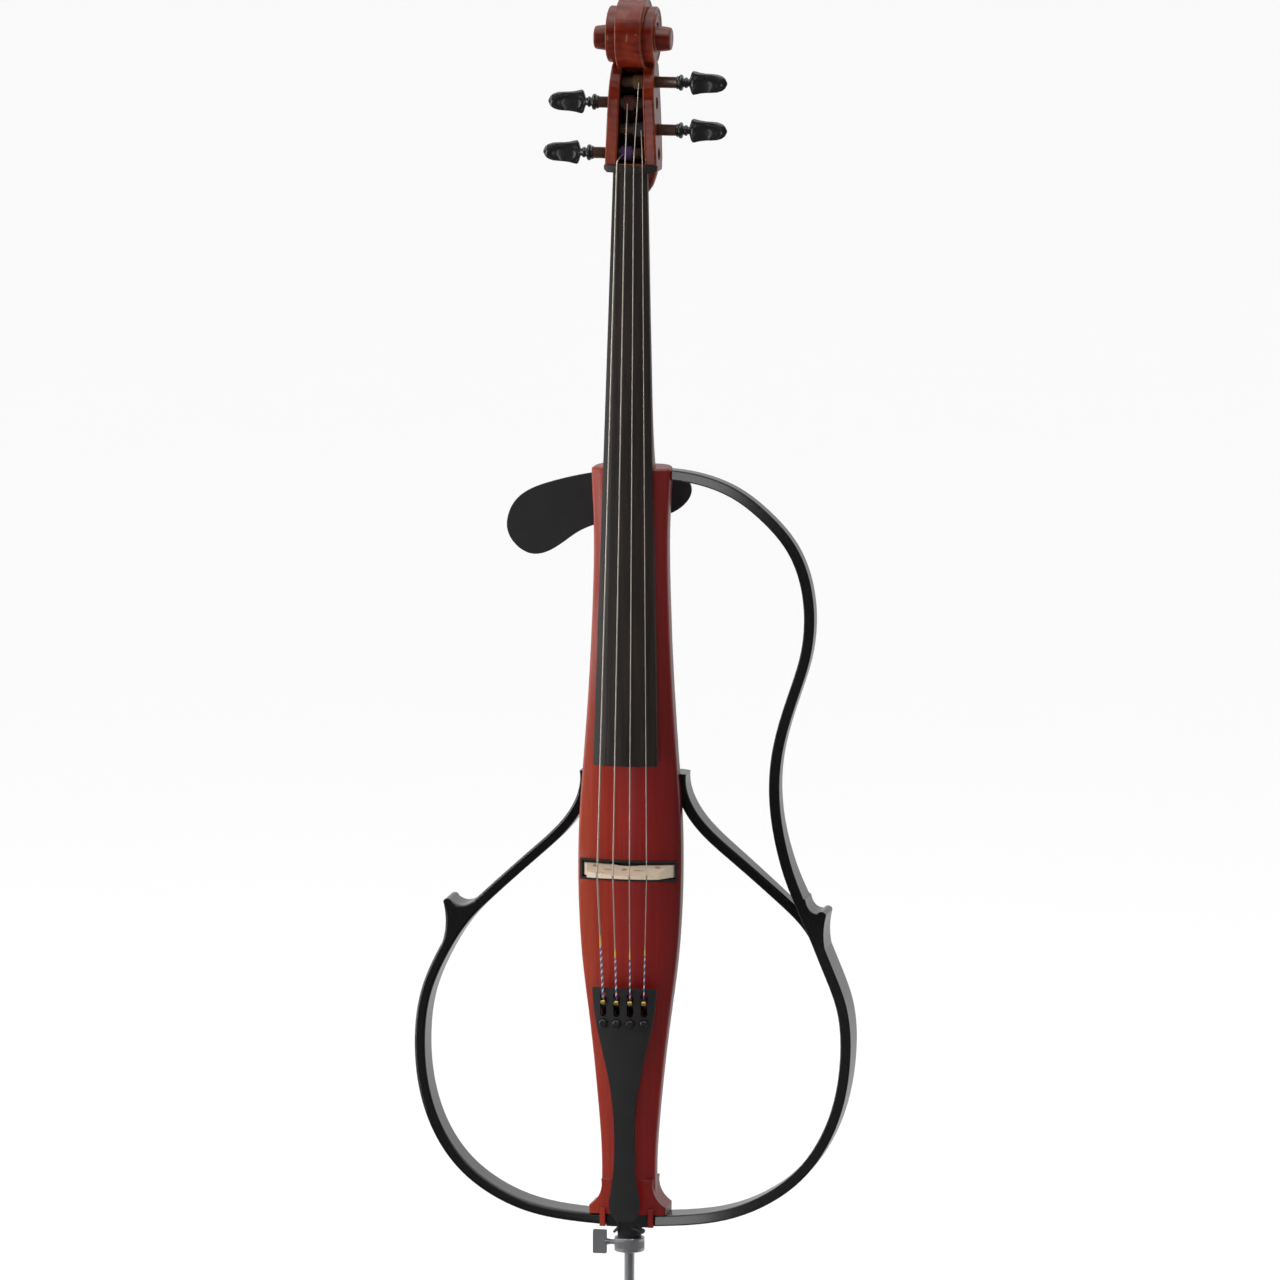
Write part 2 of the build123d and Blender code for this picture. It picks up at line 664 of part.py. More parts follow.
# ------------------------------------------------------------------ strings
for index, name in enumerate(string_names):
    place = string_places[index]
    radius = string_radii[index]
    bridge_x = place * bridge_spacing
    nut_x = place * nut_spacing
    bridge_y = -52.2 + bridge_x**2 / (2 * bridge_crown_radius)
    nut_y = -20.2 + nut_x**2 / (2 * board_crown_radius)
    peg_y = peg_depth - winding_radius - radius - 0.2
    slope = (bridge_y - nut_y) / (nut_high - 4 - bridge_height)
    over_nut = nut_y - slope * 7.5
    with BuildPart() as string:
        with BuildLine() as route:
            FilletPolyline(
                at(place * tuner_spacing, ball_depth(place) - 0.25, ball_height + 3),
                at(bridge_x, bridge_y, bridge_height),
                at(nut_x, over_nut, nut_high + 4),
                at(string_at_peg[index], peg_y, peg_heights[index]),
                radius=[12, 2.6],
            )
        with BuildSketch(Plane(origin=route.line @ 0, z_dir=route.line % 0)):
            Circle(radius)
        sweep()
    save(string, f"string_{name}")
    length = sum(edge.length for edge in route.edges())
    print(name, "string turns with radii 12 and 2.6, length", round(length, 1))

# ------------------------------------------------------------------ chest pad
pad_x, pad_height = pad_centre


def pad_outline():
    """Kidney outline: broad lobe at the left, small lobe at the right."""
    with BuildSketch(facing(0)) as outline:
        with BuildLine():
            Spline(
                (-133, 724), (-121, 747), (-88, 763), (-40, 774), (10, 779), (38, 777), (52, 759),
                (38, 738), (8, 730), (-35, 724), (-62, 713), (-86, 696), (-108, 690), (-128, 703),
                periodic=True,
            )
        make_face()
    return outline.sketch_local


with BuildPart() as pad_plate:
    with BuildSketch(facing(43.4)):
        add(pad_outline())
    extrude(amount=2.8)
    rod((pad_x, 30, pad_height), (pad_x, 60, pad_height), 5 + running_gap, mode=Mode.SUBTRACT)
save(pad_plate, "pad_plate")

with BuildPart() as chest_pad:
    with BuildSketch(facing(56)):
        add(pad_outline())
    extrude(amount=12.5)
    rod((pad_x, 30, pad_height), (pad_x, 60, pad_height), 14.5, mode=Mode.SUBTRACT)
save(chest_pad, "chest_pad")

with BuildPart() as pad_post:
    rod((pad_x, 27, pad_height), (pad_x, 40.5, pad_height), 9)
    rod((pad_x, 40, pad_height), (pad_x, 50, pad_height), 5)
save(pad_post, "pad_post")

with BuildPart() as pad_knob:
    rod((pad_x, 43.6, pad_height), (pad_x, 53.5, pad_height), 11.5)
    fillet(pad_knob.edges().filter_by(GeomType.CIRCLE).sort_by(Axis.Y)[-1], 1.5)
    with BuildSketch(facing(54)):
        with Locations((pad_x, pad_height)):
            with PolarLocations(12.6, 8):
                Circle(2.6)
    extrude(amount=12, mode=Mode.SUBTRACT)
    rod((pad_x, 40, pad_height), (pad_x, 50.5, pad_height), 5 + running_gap, mode=Mode.SUBTRACT)
save(pad_knob, "pad_knob")

# ------------------------------------------------------------------ electronics in the back
panel_out = back_flat + 3
volume_place = (0, 628)
line_place = (0, 578)
mini_places = [(-9.5, 554), (9.5, 554)]
dc_place = (0, 528)
panel_screw_places = [(-17.2, 499), (17.2, 499), (-17.2, 638), (17.2, 638)]


def through(place, radius, near, far, mode=Mode.ADD):
    """Round bar or hole along Y at a place on the control panel."""
    rod((place[0], near, place[1]), (place[0], far, place[1]), radius, mode=mode)


with BuildPart() as panel_screws:
    for place in panel_screw_places:
        through(place, 2.4, panel_out - 1, panel_out + 0.6)
        through(place, 1.3, panel_out - 1, 24)
save(panel_screws, "panel_screws")

with BuildPart() as control_panel:
    with BuildSketch(facing(panel_out)):
        with Locations((0, 568.5)):
            RectangleRounded(43, 157, 5)
    extrude(amount=3)
    for place in panel_screw_places:
        with BuildSketch(facing(panel_out - 3)):
            with Locations(place):
                Circle(2.8)
        extrude(amount=9)
    through(volume_place, 3 + running_gap, 0, 50, Mode.SUBTRACT)
    through(line_place, 5.5, 0, 50, Mode.SUBTRACT)
    through(dc_place, 4.6, 0, 50, Mode.SUBTRACT)
    for place in mini_places:
        through(place, 3.6, 0, 50, Mode.SUBTRACT)
    block((-2.1, 20, 598), (2.1, 40, 610), mode=Mode.SUBTRACT)
    add(panel_screws.part, mode=Mode.SUBTRACT)
save(control_panel, "control_panel")


def socket(place, outer, inner, depth):
    """Jack socket: a threaded bush through the panel on a square housing."""
    x, height = place
    housing = outer + 1.8
    low = (x - housing, panel_out - depth, height - housing)
    block(low, (x + housing, panel_out - 3.2, height + housing))
    through(place, outer, panel_out - 4, panel_out + 1.2)
    through(place, inner, panel_out - depth + 2, panel_out + 5, Mode.SUBTRACT)


with BuildPart() as line_jack:
    socket(line_place, 5.5, 3.2, 17)
save(line_jack, "line_jack")

with BuildPart() as mini_jacks:
    for place in mini_places:
        socket(place, 3.6, 1.8, 14)
save(mini_jacks, "mini_jacks")

with BuildPart() as dc_inlet:
    socket(dc_place, 4.6, 2.9, 14)
    through(dc_place, 0.9, panel_out - 13, panel_out - 1)
save(dc_inlet, "dc_inlet")

with BuildPart() as volume_knob:
    through(volume_place, 8.5, panel_out + 0.2, panel_out + 9)
    fillet(volume_knob.edges().filter_by(GeomType.CIRCLE).sort_by(Axis.Y)[-1], 1)
    through(volume_place, 3, 24.1, panel_out + 2)
    with BuildSketch(facing(panel_out + 8)):
        with Locations(volume_place):
            with PolarLocations(8.6, 24):
                Circle(0.45)
    extrude(amount=6, mode=Mode.SUBTRACT)
save(volume_knob, "volume_knob")

with BuildPart() as reverb_switch:
    block((-1.9, 27.1, 599), (1.9, panel_out + 2.2, 603))
save(reverb_switch, "reverb_switch")

with BuildPart() as circuit_board:
    block((-18, 12, 494), (18, 13.6, 640))
    block((-8, 13.6, 620), (8, 24, 636))
    block((-5, 13.6, 597), (5, 27, 611))
    for x, height in ((-9, 508), (9, 508), (-11, 585), (11, 585)):
        block((x - 3.5, 13.6, height - 3), (x + 3.5, 15.6, height + 3))
save(circuit_board, "circuit_board")

with BuildPart() as battery_box:
    block((-18, 6, 408), (18, back_flat, 487))
    block((-16, 10, 412), (16, 50, 483), mode=Mode.SUBTRACT)
save(battery_box, "battery_box")

cell_radius = 7.1
with BuildPart() as batteries:
    for x in (-7.6, 7.6):
        rod((x, 20, 421), (x, 20, 470), cell_radius)
        rod((x, 20, 470), (x, 20, 471.5), 2.7)
save(batteries, "batteries")

with BuildPart() as battery_contacts:
    for x in (-7.6, 7.6):
        block((x - 6, 14, 412), (x + 6, 26, 412.8))
        rod((x, 20, 412.8), (x, 20, 421), 5.2, 2.4)
        block((x - 6, 14, 482.2), (x + 6, 26, 483))
        rod((x, 20, 471.5), (x, 20, 482.2), 2.4, 4)
save(battery_contacts, "battery_contacts")

with BuildPart() as battery_cover:
    with BuildSketch(facing(panel_out)):
        with Locations((0, 446)):
            RectangleRounded(43, 86, 5)
    extrude(amount=2.95)
    for rib in range(4):
        block((-9, panel_out, 470 + 3 * rib), (9, panel_out + 0.8, 471.2 + 3 * rib))
save(battery_cover, "battery_cover")
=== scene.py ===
"""Looks of the electric cello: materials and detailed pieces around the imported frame.

Metres, in the frame of the CAD model: +Z up the instrument, -Y the string side, +X right.
"""

import json
import math

import bmesh
import bpy
from mathutils import Matrix, Vector


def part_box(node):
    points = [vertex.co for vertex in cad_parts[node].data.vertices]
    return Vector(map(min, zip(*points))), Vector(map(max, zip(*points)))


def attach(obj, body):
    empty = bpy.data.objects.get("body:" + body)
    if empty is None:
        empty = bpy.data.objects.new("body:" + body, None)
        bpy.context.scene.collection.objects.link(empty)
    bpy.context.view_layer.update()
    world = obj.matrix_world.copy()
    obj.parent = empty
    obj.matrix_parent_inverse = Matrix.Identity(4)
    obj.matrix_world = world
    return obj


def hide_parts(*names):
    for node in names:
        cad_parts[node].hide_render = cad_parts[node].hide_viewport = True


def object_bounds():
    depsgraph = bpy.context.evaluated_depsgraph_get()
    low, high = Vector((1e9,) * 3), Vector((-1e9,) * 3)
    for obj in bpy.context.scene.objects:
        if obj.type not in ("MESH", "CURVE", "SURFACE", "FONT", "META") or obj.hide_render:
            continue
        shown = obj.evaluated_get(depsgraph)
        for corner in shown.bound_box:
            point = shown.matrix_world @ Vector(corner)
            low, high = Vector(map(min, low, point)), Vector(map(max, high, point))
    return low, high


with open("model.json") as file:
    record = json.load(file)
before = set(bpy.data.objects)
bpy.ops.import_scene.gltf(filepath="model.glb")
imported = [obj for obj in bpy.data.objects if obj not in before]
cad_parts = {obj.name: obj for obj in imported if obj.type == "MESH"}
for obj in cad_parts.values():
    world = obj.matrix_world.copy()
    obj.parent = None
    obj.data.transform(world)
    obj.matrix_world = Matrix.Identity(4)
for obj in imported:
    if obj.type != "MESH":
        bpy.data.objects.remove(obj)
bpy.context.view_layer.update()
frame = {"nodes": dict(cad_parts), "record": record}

MM = 0.001
NODES = frame["nodes"]
STRINGS = ["c", "g", "d", "a"]
COLLAR_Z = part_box("endpin_collar")[0].z
SCENE = bpy.context.scene


def middle(node):
    """Centre of a CAD node's box."""
    low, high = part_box(node)
    return (low + high) / 2


# ---------------------------------------------------------------- camera, floor and light
AIM = Vector((0.0085, 0.0, COLLAR_Z + 0.6135))
AZIMUTH = math.radians(10.5)
ELEVATION = math.radians(9.0)
DISTANCE = 14.0
SEEN_WIDTH = 1.2617
ROLL = math.radians(0.2)
SENSOR = 36.0


def place_camera():
    data = bpy.data.cameras.new("view")
    data.sensor_width = SENSOR
    data.lens = SENSOR * DISTANCE / SEEN_WIDTH
    data.clip_end = 400
    camera = bpy.data.objects.new("view", data)
    away = Vector((
        math.sin(AZIMUTH) * math.cos(ELEVATION),
        -math.cos(AZIMUTH) * math.cos(ELEVATION),
        math.sin(ELEVATION),
    ))
    camera.location = AIM + away * DISTANCE
    turn = (-away).to_track_quat("-Z", "Y") @ Matrix.Rotation(ROLL, 3, "Z").to_quaternion()
    camera.rotation_mode = "QUATERNION"
    camera.rotation_quaternion = turn
    SCENE.collection.objects.link(camera)
    SCENE.camera = camera


def area_light(name, place, target, size, power):
    data = bpy.data.lights.new(name, "AREA")
    data.shape = "RECTANGLE"
    data.size, data.size_y = size
    data.energy = power
    lamp = bpy.data.objects.new(name, data)
    lamp.location = place
    lamp.rotation_euler = (Vector(target) - Vector(place)).to_track_quat("-Z", "Y").to_euler()
    SCENE.collection.objects.link(lamp)


def light_world():
    """White studio: bright behind, above and at the sides, dim in front; pale where it is seen."""
    world = bpy.data.worlds.new("studio")
    world.use_nodes = True
    tree = world.node_tree
    surround = tree.nodes["Background"]
    coords = tree.nodes.new("ShaderNodeTexCoord")
    parts = tree.nodes.new("ShaderNodeSeparateXYZ")
    tree.links.new(coords.outputs["Generated"], parts.inputs["Vector"])
    brighter = tree.nodes.new("ShaderNodeMath")
    brighter.operation = "MAXIMUM"
    zones = (("Y", -0.45, 0.6, 0.03, 0.5), ("Z", 0.45, 0.85, 0.05, 1.6))
    for index, (axis, start, end, dim, bright) in enumerate(zones):
        zone = tree.nodes.new("ShaderNodeMapRange")
        zone.interpolation_type = "SMOOTHSTEP"
        zone.inputs["From Min"].default_value = start
        zone.inputs["From Max"].default_value = end
        zone.inputs["To Min"].default_value = dim
        zone.inputs["To Max"].default_value = bright
        tree.links.new(parts.outputs[axis], zone.inputs["Value"])
        tree.links.new(zone.outputs["Result"], brighter.inputs[index])
    tree.links.new(brighter.outputs["Value"], surround.inputs["Strength"])
    surround.inputs["Color"].default_value = (1, 1, 1, 1)
    seen = tree.nodes.new("ShaderNodeBackground")
    seen.inputs["Strength"].default_value = 1.0
    path = tree.nodes.new("ShaderNodeLightPath")
    choose = tree.nodes.new("ShaderNodeMixShader")
    tree.links.new(path.outputs["Is Camera Ray"], choose.inputs["Fac"])
    tree.links.new(surround.outputs["Background"], choose.inputs[1])
    tree.links.new(seen.outputs["Background"], choose.inputs[2])
    tree.links.new(choose.outputs["Shader"], tree.nodes["World Output"].inputs["Surface"])
    SCENE.world = world


def place_lights():
    centre = (0, 0, 0.85)
    area_light("key_left", (-3.1, -1.3, 1.5), centre, (0.7, 2.4), 41)
    area_light("sheen_left", (-2.3, -2.3, 0.9), centre, (0.14, 2.0), 9)
    area_light("front_strip", (-0.6, -3.6, 0.8), centre, (0.1, 1.5), 2)
    area_light("strip_left", (-1.9, 0.4, 1.2), centre, (0.4, 2.4), 8)
    area_light("fill_right", (1.6, -3.2, 1.5), centre, (0.3, 2.2), 1.3)
    area_light("rim_right", (1.7, 1.9, 1.5), centre, (0.6, 2.4), 1.5)
    area_light("top", (0.2, -0.6, 3.4), centre, (1.2, 1.2), 5)
    light_world()
    SCENE.view_settings.view_transform = "Standard"


# ---------------------------------------------------------------- material building blocks
class Shader:
    """A principled material with short calls for its texture nodes."""

    def __init__(self, name, colour, rough, metal=0.0, coat=0.0, coat_rough=0.1, sheen=0.0, specular=0.5):
        self.material = bpy.data.materials.new(name)
        self.material.use_nodes = True
        self.tree = self.material.node_tree
        self.surface = self.tree.nodes["Principled BSDF"]
        self.surface.inputs["Base Color"].default_value = (*colour, 1)
        self.surface.inputs["Roughness"].default_value = rough
        self.surface.inputs["Metallic"].default_value = metal
        self.surface.inputs["Coat Weight"].default_value = coat
        self.surface.inputs["Coat Roughness"].default_value = coat_rough
        self.surface.inputs["Sheen Weight"].default_value = sheen
        self.surface.inputs["Specular IOR Level"].default_value = specular
        self.material.diffuse_color = (*colour, 1)

    def add(self, kind, **settings):
        node = self.tree.nodes.new(kind)
        for key, value in settings.items():
            setattr(node, key, value)
        return node

    def join(self, source, target):
        self.tree.links.new(source, target)

    def place(self, scale=(1, 1, 1), rotation=(0, 0, 0)):
        """Object coordinates in metres, stretched and turned."""
        coords = self.add("ShaderNodeTexCoord")
        mapping = self.add("ShaderNodeMapping")
        mapping.inputs["Scale"].default_value = scale
        mapping.inputs["Rotation"].default_value = rotation
        self.join(coords.outputs["Object"], mapping.inputs["Vector"])
        return mapping.outputs["Vector"]

    def noise(self, vector, scale, detail=4, rough=0.6, distortion=0.0):
        node = self.add("ShaderNodeTexNoise")
        node.inputs["Scale"].default_value = scale
        node.inputs["Detail"].default_value = detail
        node.inputs["Roughness"].default_value = rough
        node.inputs["Distortion"].default_value = distortion
        self.join(vector, node.inputs["Vector"])
        return node.outputs["Fac"]

    def wave(self, vector, scale, distortion, detail, direction):
        node = self.add("ShaderNodeTexWave", bands_direction=direction)
        node.inputs["Scale"].default_value = scale
        node.inputs["Distortion"].default_value = distortion
        node.inputs["Detail"].default_value = detail
        self.join(vector, node.inputs["Vector"])
        return node.outputs["Fac"]

    def ramp(self, factor, stops):
        node = self.add("ShaderNodeValToRGB")
        elements = node.color_ramp.elements
        while len(elements) < len(stops):
            elements.new(0.5)
        for element, (position, colour) in zip(elements, stops):
            element.position = position
            element.color = (*colour, 1)
        self.join(factor, node.inputs["Fac"])
        return node.outputs["Color"]

    def mix(self, factor, first, second, blend="MIX"):
        node = self.add("ShaderNodeMix", data_type="RGBA", blend_type=blend)
        for value, name in ((factor, "Factor"), (first, "A"), (second, "B")):
            socket = node.inputs[name]
            if isinstance(value, bpy.types.NodeSocket):
                self.join(value, socket)
            elif isinstance(value, tuple):
                socket.default_value = (*value, 1)
            else:
                socket.default_value = value
        return node.outputs["Result"]

    def span(self, factor, low, high):
        """Noise value moved to a range, for roughness and strengths."""
        node = self.add("ShaderNodeMapRange")
        node.inputs["To Min"].default_value = low
        node.inputs["To Max"].default_value = high
        self.join(factor, node.inputs["Value"])
        return node.outputs["Result"]

    def colour(self, output):
        self.join(output, self.surface.inputs["Base Color"])

    def rough(self, output):
        self.join(output, self.surface.inputs["Roughness"])

    def relief(self, height=None, strength=0.2, distance=0.0002, edge=0.0):
        """Bump from a height, over edges rounded by the given radius."""
        normal = None
        if edge:
            rounded = self.add("ShaderNodeBevel", samples=4)
            rounded.inputs["Radius"].default_value = edge
            normal = rounded.outputs["Normal"]
        if height is not None:
            bump = self.add("ShaderNodeBump")
            bump.inputs["Strength"].default_value = strength
            bump.inputs["Distance"].default_value = distance
            self.join(height, bump.inputs["Height"])
            if normal is not None:
                self.join(normal, bump.inputs["Normal"])
            normal = bump.outputs["Normal"]
        self.join(normal, self.surface.inputs["Normal"])
        if self.surface.inputs["Coat Weight"].default_value > 0 and edge:
            self.join(rounded.outputs["Normal"], self.surface.inputs["Coat Normal"])


# ---------------------------------------------------------------- materials
def red_varnish():
    """Satin red varnish with straight lengthwise grain; its colour runs from orange-red at the left to deep
    crimson and near-black at the right, as painted light from the left and painted shade on the right.
    """
    s = Shader("red_varnish", (0.3, 0.012, 0.008), 0.3, coat=0.3, coat_rough=0.14, specular=0.3)
    grain = s.noise(s.place((420, 420, 9)), 1.0, 5, 0.65)
    pores = s.noise(s.place((1500, 1500, 40)), 1.0, 3, 0.6)
    patches = s.noise(s.place((6, 6, 2.2)), 1.0, 3, 0.5)
    # painted light and shade: the base colour is lighter and more orange towards -X and darkens to
    # near-black towards +X, as if lit from the left
    across = s.add("ShaderNodeSeparateXYZ")
    s.join(s.place((1, 1, 1)), across.inputs["Vector"])
    shading = s.add("ShaderNodeMapRange")
    shading.inputs["From Min"].default_value = -0.05
    shading.inputs["From Max"].default_value = 0.05
    s.join(across.outputs["X"], shading.inputs["Value"])
    painted_side_light = s.ramp(shading.outputs["Result"], [
        (0.0, (0.40, 0.046, 0.011)), (0.32, (0.33, 0.018, 0.007)), (0.6, (0.24, 0.005, 0.006)),
        (0.85, (0.15, 0.002, 0.003)), (1.0, (0.07, 0.001, 0.002)),
    ])
    tone = s.ramp(grain, [(0.25, (0.72, 0.6, 0.6)), (0.55, (1, 1, 1)), (0.8, (1.3, 1.5, 1.3))])
    base = s.mix(1.0, painted_side_light, tone, "MULTIPLY")
    warm = s.mix(s.span(patches, 0.0, 0.25), base, (0.38, 0.03, 0.008))
    s.colour(s.mix(s.span(pores, 0.0, 0.3), warm, (0.10, 0.002, 0.003)))
    s.rough(s.span(grain, 0.26, 0.38))
    s.relief(grain, 0.06, 0.0001, edge=0.0012)
    return s.material


def amber_varnish(name, wear_and_hollow_shade):
    """Glossy red-brown maple with faint cross flames, and when asked, amber where the varnish wore off its
    edges and painted shade darkening its hollows.
    """
    s = Shader(name, (0.25, 0.04, 0.015), 0.3, coat=0.45, coat_rough=0.09, specular=0.2)
    flame = s.wave(s.place((1, 1, 1)), 38, 7.0, 3, "Z")
    patches = s.noise(s.place((34, 34, 20)), 1.0, 4, 0.6, 0.6)
    grain = s.noise(s.place((500, 500, 22)), 1.0, 4, 0.6)
    base = s.ramp(patches, [
        (0.3, (0.060, 0.003, 0.002)), (0.5, (0.125, 0.008, 0.002)), (0.75, (0.24, 0.030, 0.004)),
    ])
    flamed = s.mix(s.span(flame, 0.0, 0.22), base, (0.26, 0.04, 0.006))
    grained = s.mix(s.span(grain, 0.0, 0.3), flamed, (0.06, 0.005, 0.004))
    if wear_and_hollow_shade:
        edges = s.add("ShaderNodeNewGeometry")
        worn = s.ramp(edges.outputs["Pointiness"], [(0.512, (0, 0, 0)), (0.56, (0.5, 0.5, 0.5))])
        # painted shade: concave places, with low pointiness, are darkened towards near-black brown
        painted_hollow_shade = s.ramp(edges.outputs["Pointiness"], [(0.42, (0.8, 0.8, 0.8)), (0.485, (0, 0, 0))])
        grained = s.mix(painted_hollow_shade, s.mix(worn, grained, (0.5, 0.15, 0.03)), (0.02, 0.003, 0.002))
    s.colour(grained)
    s.relief(grain, 0.04, 0.0001, edge=0.0006)
    return s.material


def cavity_dark_brown():
    """Dark brown for the inside of the pegbox."""
    s = Shader("cavity_dark_brown", (0.03, 0.01, 0.006), 0.6, specular=0.2)
    grain = s.noise(s.place((500, 500, 22)), 1.0, 4, 0.6)
    s.colour(s.ramp(grain, [(0.3, (0.016, 0.005, 0.004)), (0.7, (0.045, 0.014, 0.008))]))
    s.relief(grain, 0.1, 0.0001)
    return s.material


def ebony():
    """Oiled ebony: near-black with brown streaks along its length."""
    s = Shader("ebony", (0.018, 0.014, 0.012), 0.42, specular=0.4)
    streaks = s.noise(s.place((260, 260, 5)), 1.0, 6, 0.7)
    fine = s.noise(s.place((1800, 1800, 30)), 1.0, 3, 0.7)
    s.colour(s.ramp(streaks, [
        (0.3, (0.010, 0.009, 0.009)), (0.6, (0.024, 0.017, 0.014)), (0.8, (0.045, 0.028, 0.02)),
    ]))
    s.rough(s.span(fine, 0.34, 0.5))
    s.relief(fine, 0.08, 0.0001, edge=0.0005)
    return s.material


def bare_maple():
    """Bare quarter-sawn maple with small brown flecks."""
    s = Shader("bare_maple", (0.66, 0.5, 0.34), 0.55)
    flecks = s.noise(s.place((180, 1200, 1200)), 1.0, 3, 0.5)
    tone = s.noise(s.place((40, 90, 90)), 1.0, 3, 0.5)
    base = s.mix(s.span(tone, 0.0, 0.6), (0.66, 0.55, 0.42), (0.52, 0.40, 0.28))
    s.colour(s.mix(s.ramp(flecks, [(0.62, (0, 0, 0)), (0.72, (1, 1, 1))]), base, (0.30, 0.17, 0.09)))
    s.relief(flecks, 0.1, 0.0001, edge=0.0004)
    return s.material


def gloss_black():
    """Piano-black frame lacquer with a faint orange-peel surface."""
    s = Shader("gloss_black", (0.004, 0.004, 0.005), 0.26, coat=0.9, coat_rough=0.06, specular=0.2)
    peel = s.noise(s.place((1, 1, 1)), 420, 2, 0.5)
    haze = s.noise(s.place((1, 1, 1)), 14, 3, 0.5)
    s.rough(s.span(haze, 0.16, 0.3))
    s.relief(peel, 0.03, 0.0001, edge=0.0009)
    return s.material


def matte_black(name="matte_black", tone=0.014, rough=0.5, grain=1600, strength=0.12, coat=0.0):
    """Moulded black plastic with a fine spark-eroded grain."""
    s = Shader(name, (tone, tone, tone * 1.1), rough, coat=coat, coat_rough=0.12, specular=0.35)
    fine = s.noise(s.place((1, 1, 1)), grain, 2, 0.5)
    rub = s.noise(s.place((1, 1, 1)), 45, 4, 0.6)
    s.colour(s.mix(s.span(rub, 0.0, 0.5), (tone, tone, tone * 1.06), (tone * 1.7, tone * 1.7, tone * 1.8)))
    s.rough(s.span(rub, rough - 0.06, rough + 0.1))
    s.relief(fine, strength, 0.0002, edge=0.0005)
    return s.material


def shaft_brown():
    """Dark rosewood shaft of a peg."""
    s = Shader("shaft_brown", (0.05, 0.025, 0.016), 0.4, coat=0.2, coat_rough=0.3)
    grain = s.noise(s.place((30, 900, 900)), 1.0, 4, 0.6)
    s.colour(s.ramp(grain, [(0.3, (0.028, 0.014, 0.010)), (0.7, (0.085, 0.043, 0.026))]))
    s.relief(grain, 0.08, 0.0001)
    return s.material


def metal(name, tone, rough, purity=1.0):
    """Brushed metal whose lines run along one axis."""
    s = Shader(name, tone, rough, metal=purity)
    lines = s.noise(s.place((900, 900, 30)), 1.0, 3, 0.6)
    smudge = s.noise(s.place((1, 1, 1)), 60, 3, 0.6)
    s.colour(s.mix(s.span(smudge, 0.0, 0.35), tone, tuple(0.7 * value for value in tone)))
    s.rough(s.span(lines, rough - 0.08, rough + 0.1))
    s.relief(lines, 0.08, 0.0001, edge=0.0004)
    return s.material


def wound_string():
    """Flat-wound steel string: fine turns seen as a ripple along its length."""
    s = Shader("wound_string", (0.66, 0.60, 0.52), 0.3, metal=0.8)
    turns = s.wave(s.place((1, 1, 1)), 900, 0.0, 0, "Z")
    s.relief(turns, 0.25, 0.0001)
    return s.material


def thread(name, tone):
    """Silk thread wrapped closely round a string."""
    s = Shader(name, tone, 0.75, sheen=0.08, specular=0.2)
    turns = s.wave(s.place((1, 1, 1)), 1300, 0.6, 1, "Z")
    s.colour(s.mix(s.span(turns, 0.0, 0.4), tone, tuple(0.45 * value for value in tone)))
    s.relief(turns, 0.4, 0.0001)
    return s.material


def striped_silk(name):
    """Pale silk lapping with a blue thread spiralling round it."""
    s = Shader(f"silk_striped_{name}", (0.5, 0.55, 0.66), 0.6, sheen=0.4)
    twist = s.wave(s.place((1, 1, 1), (0.0, 0.9, 0.0)), 75, 0.0, 0, "Z")
    turns = s.wave(s.place((1, 1, 1)), 1100, 0.5, 1, "Z")
    base = s.ramp(twist, [(0.3, (0.62, 0.56, 0.36)), (0.42, (0.035, 0.06, 0.30))])
    s.colour(s.mix(s.span(turns, 0.0, 0.35), base, (0.03, 0.03, 0.08)))
    s.relief(turns, 0.4, 0.0001)
    return s.material


def pad_cloth():
    """Black fine-grained cover of the chest pad."""
    s = Shader("pad_cloth", (0.012, 0.012, 0.014), 0.62, sheen=0.25)
    grain = s.noise(s.place((1, 1, 1)), 900, 3, 0.6)
    cells = s.add("ShaderNodeTexVoronoi")
    cells.inputs["Scale"].default_value = 700
    s.join(s.place((1, 1, 1)), cells.inputs["Vector"])
    s.colour(s.mix(s.span(grain, 0.0, 0.6), (0.010, 0.010, 0.012), (0.026, 0.026, 0.030)))
    s.rough(s.span(grain, 0.52, 0.72))
    s.relief(cells.outputs["Distance"], 0.35, 0.0003)
    return s.material


def board_green():
    """Green circuit board with faint copper tracks."""
    s = Shader("board_green", (0.02, 0.14, 0.06), 0.35, coat=0.5)
    tracks = s.wave(s.place((1, 1, 1)), 260, 0.0, 0, "X")
    s.colour(s.ramp(tracks, [(0.55, (0.02, 0.13, 0.055)), (0.6, (0.05, 0.22, 0.09))]))
    s.relief(tracks, 0.1, 0.0001)
    return s.material


MATERIALS = {
    "red_wood": red_varnish(),
    "amber_wood": amber_varnish("amber_varnish", False),
    "ebony": ebony(),
    "bare_maple": bare_maple(),
    "black_frame": gloss_black(),
    "black_plastic": matte_black(),
    "peg_black": matte_black("peg_black", 0.009, 0.24, 700, 0.03, coat=0.85),
    "steel": metal("steel", (0.62, 0.63, 0.65), 0.3, purity=0.88),
    "screw_steel": metal("screw_steel", (0.09, 0.09, 0.09), 0.35),
    "string_steel": wound_string(),
    "silk": thread("silk_violet", (0.16, 0.07, 0.30)),
    "brass": metal("brass", (0.8, 0.5, 0.13), 0.28, purity=0.85),
    "gut_cord": matte_black("gut_cord", 0.012, 0.38, 900, 0.05),
    "pad_cushion": pad_cloth(),
    "sensor": matte_black("sensor", 0.06, 0.5),
    "lead": matte_black("lead", 0.03, 0.5),
    "board_green": board_green(),
    "cell": matte_black("cell", 0.08, 0.3),
    "nickel": metal("nickel", (0.6, 0.58, 0.54), 0.2),
}


